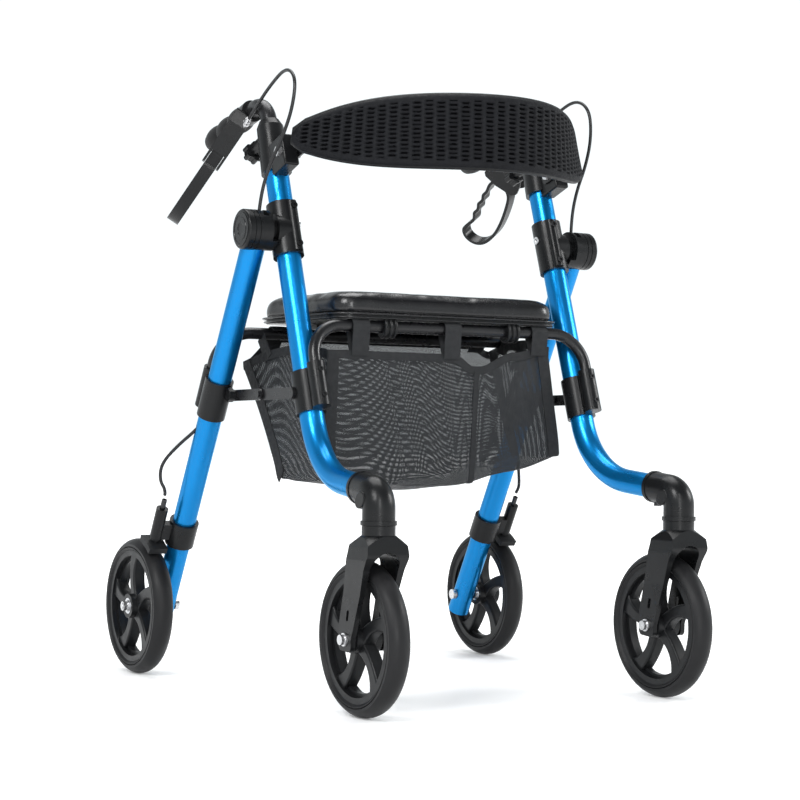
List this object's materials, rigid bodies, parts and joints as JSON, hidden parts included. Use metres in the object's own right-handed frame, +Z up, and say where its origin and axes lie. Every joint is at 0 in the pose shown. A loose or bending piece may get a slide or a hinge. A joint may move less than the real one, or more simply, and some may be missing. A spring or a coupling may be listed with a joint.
{
  "type": "rollator walker",
  "caption": "Folding rollator with a padded flip-up seat, under-seat basket, mesh back strap, loop brake levers and swivelling front wheels.",
  "frame": {"origin": "on the floor, midway between the left and right wheels and midway between the front and rear axles", "axes": "+X towards the user's left, -Y the walking direction, +Z up"},
  "size_m": [0.632, 0.725, 0.816],
  "materials": {
    "blue_paint": "gloss powder coat",
    "black_metal": "satin black powder coat",
    "black_plastic": "fine-grained moulded nylon",
    "steel": "zinc-plated",
    "bearing_steel": "ground",
    "alloy_tube": "black anodised",
    "grip_rubber": "soft ribbed rubber",
    "tyre_rubber": "dull rubber",
    "brake_rubber": "hard rubber",
    "mesh_fabric": "open mesh over foam",
    "seat_vinyl": "smooth vinyl over foam",
    "cable_sheath": "smooth sheath",
    "basket_cloth": "woven mesh with webbing"
  },
  "bodies": {
    "front_frame": {"right_front_leg": "blue_paint", "left_front_leg": "blue_paint", "front_cross_tube": "black_metal", "right_hinge_bracket": "black_plastic", "left_hinge_bracket": "black_plastic", "front_tube_clamps": "black_plastic", "caster_elbows": "black_plastic", "caster_bearings": "bearing_steel", "caster_bearing_covers": "black_plastic", "right_height_socket": "black_plastic", "left_height_socket": "black_plastic", "front_frame_fasteners": "steel", "right_upper_brake_cable": "cable_sheath", "left_upper_brake_cable": "cable_sheath", "basket": "basket_cloth"},
    "rear_frame": {"right_rear_leg": "blue_paint", "left_rear_leg": "blue_paint", "rear_cross_tube": "black_metal", "right_rear_hinge_drum": "black_plastic", "left_rear_hinge_drum": "black_plastic", "rear_hinge_caps": "black_plastic", "rear_tube_clamps": "black_plastic", "rear_frame_fasteners": "steel", "brake_housings": "black_plastic", "rear_axle_bolts": "steel", "lower_brake_cables": "cable_sheath"},
    "front_brace_bars": {"front_braces": "black_metal"},
    "rear_brace_bars": {"rear_braces": "black_metal"},
    "seat": {"seat_pad": "seat_vinyl", "seat_base": "black_plastic"},
    "backrest": {"back_strap": "mesh_fabric", "back_strap_plates": "black_metal"},
    "right_caster": {"right_caster_fork": "black_plastic", "right_front_axle_bolt": "steel"},
    "right_front_wheel": {"right_front_tyre": "tyre_rubber", "right_front_rim": "black_plastic", "right_front_wheel_bearings": "bearing_steel"},
    "right_rear_wheel": {"right_rear_tyre": "tyre_rubber", "right_rear_rim": "black_plastic", "right_rear_wheel_bearings": "bearing_steel"},
    "right_shoe": {"right_brake_shoe": "brake_rubber"},
    "right_handle": {"right_handle_tube": "alloy_tube", "right_grip": "grip_rubber", "right_lever_bracket": "black_plastic"},
    "right_lever": {"right_brake_lever": "black_plastic"},
    "right_knob": {"right_height_knob": "black_plastic"},
    "left_caster": {"left_caster_fork": "black_plastic", "left_front_axle_bolt": "steel"},
    "left_front_wheel": {"left_front_tyre": "tyre_rubber", "left_front_rim": "black_plastic", "left_front_wheel_bearings": "bearing_steel"},
    "left_rear_wheel": {"left_rear_tyre": "tyre_rubber", "left_rear_rim": "black_plastic", "left_rear_wheel_bearings": "bearing_steel"},
    "left_shoe": {"left_brake_shoe": "brake_rubber"},
    "left_handle": {"left_handle_tube": "alloy_tube", "left_grip": "grip_rubber", "left_lever_bracket": "black_plastic"},
    "left_lever": {"left_brake_lever": "black_plastic"},
    "left_knob": {"left_height_knob": "black_plastic"}
  },
  "joints": [
    {"name": "frame_fold", "type": "hinge", "parent": "front_frame", "child": "rear_frame", "pos_m": [0, -0.0205, 0.606], "axis": [-1, 0, 0], "range_deg": [0, 36], "deforming": ["basket"]},
    {"name": "front_brace_turn", "type": "hinge", "parent": "front_frame", "child": "front_brace_bars", "pos_m": [0, -0.088, 0.3925], "axis": [-1, 0, 0], "range_deg": [0, 95]},
    {"name": "rear_brace_turn", "type": "hinge", "parent": "rear_frame", "child": "rear_brace_bars", "pos_m": [0, 0.07, 0.391], "axis": [1, 0, 0], "range_deg": [0, 120]},
    {"name": "seat_flip", "type": "hinge", "parent": "front_frame", "child": "seat", "pos_m": [0, -0.09296, 0.48161], "axis": [1, 0, 0], "range_deg": [0, 75]},
    {"name": "backrest_tilt", "type": "hinge", "parent": "front_frame", "child": "backrest", "pos_m": [0, -0.02779, 0.70974], "axis": [-1, 0, 0], "range_deg": [0, 60]},
    {"name": "right_caster_swivel", "type": "hinge", "parent": "front_frame", "child": "right_caster", "pos_m": [-0.2245, -0.3015, 0.27065], "axis": [0, 0, 1], "continuous": true},
    {"name": "right_front_wheel_spin", "type": "hinge", "parent": "right_caster", "child": "right_front_wheel", "pos_m": [-0.2245, -0.2675, 0.095], "axis": [1, 0, 0], "continuous": true},
    {"name": "right_rear_wheel_spin", "type": "hinge", "parent": "rear_frame", "child": "right_rear_wheel", "pos_m": [-0.29, 0.2675, 0.095], "axis": [1, 0, 0], "continuous": true},
    {"name": "right_shoe_press", "type": "slide", "parent": "rear_frame", "child": "right_shoe", "axis": [0, 0.491, -0.8712], "range_m": [0, 0.0035]},
    {"name": "right_handle_height", "type": "slide", "parent": "front_frame", "child": "right_handle", "axis": [0, 0.319, 0.9478], "range_m": [0, 0.125], "deforming": ["right_upper_brake_cable"]},
    {"name": "right_lever_squeeze", "type": "hinge", "parent": "right_handle", "child": "right_lever", "pos_m": [-0.2385, 0.12413, 0.72866], "axis": [0.7891, -0.285, -0.5441], "range_deg": [0, 18], "stiffness_Nm_per_rad": 1.5, "springref_deg": -8.59},
    {"name": "right_knob_turn", "type": "hinge", "parent": "front_frame", "child": "right_knob", "pos_m": [-0.211, 0.06965, 0.72338], "axis": [0, 0.9478, -0.319], "range_deg": [0, 360]},
    {"name": "left_caster_swivel", "type": "hinge", "parent": "front_frame", "child": "left_caster", "pos_m": [0.2245, -0.3015, 0.27065], "axis": [0, 0, 1], "continuous": true},
    {"name": "left_front_wheel_spin", "type": "hinge", "parent": "left_caster", "child": "left_front_wheel", "pos_m": [0.2245, -0.2675, 0.095], "axis": [1, 0, 0], "continuous": true},
    {"name": "left_rear_wheel_spin", "type": "hinge", "parent": "rear_frame", "child": "left_rear_wheel", "pos_m": [0.29, 0.2675, 0.095], "axis": [1, 0, 0], "continuous": true},
    {"name": "left_shoe_press", "type": "slide", "parent": "rear_frame", "child": "left_shoe", "axis": [0, 0.491, -0.8712], "range_m": [0, 0.0035]},
    {"name": "left_handle_height", "type": "slide", "parent": "front_frame", "child": "left_handle", "axis": [0, 0.319, 0.9478], "range_m": [0, 0.125], "deforming": ["left_upper_brake_cable"]},
    {"name": "left_lever_squeeze", "type": "hinge", "parent": "left_handle", "child": "left_lever", "pos_m": [0.2385, 0.12413, 0.72866], "axis": [0.7891, 0.285, 0.5441], "range_deg": [0, 18], "stiffness_Nm_per_rad": 1.5, "springref_deg": -8.59},
    {"name": "left_knob_turn", "type": "hinge", "parent": "front_frame", "child": "left_knob", "pos_m": [0.211, 0.06965, 0.72338], "axis": [0, 0.9478, -0.319], "range_deg": [0, 360]}
  ],
  "couplings": [
    {"joint": "front_brace_turn", "follows": "frame_fold", "ratio": 2.5067},
    {"joint": "rear_brace_turn", "follows": "frame_fold", "ratio": 3.1794},
    {"joint": "right_shoe_press", "follows": "right_lever_squeeze", "m_per_rad": 0.01113},
    {"joint": "left_shoe_press", "follows": "left_lever_squeeze", "m_per_rad": 0.01113}
  ]
}
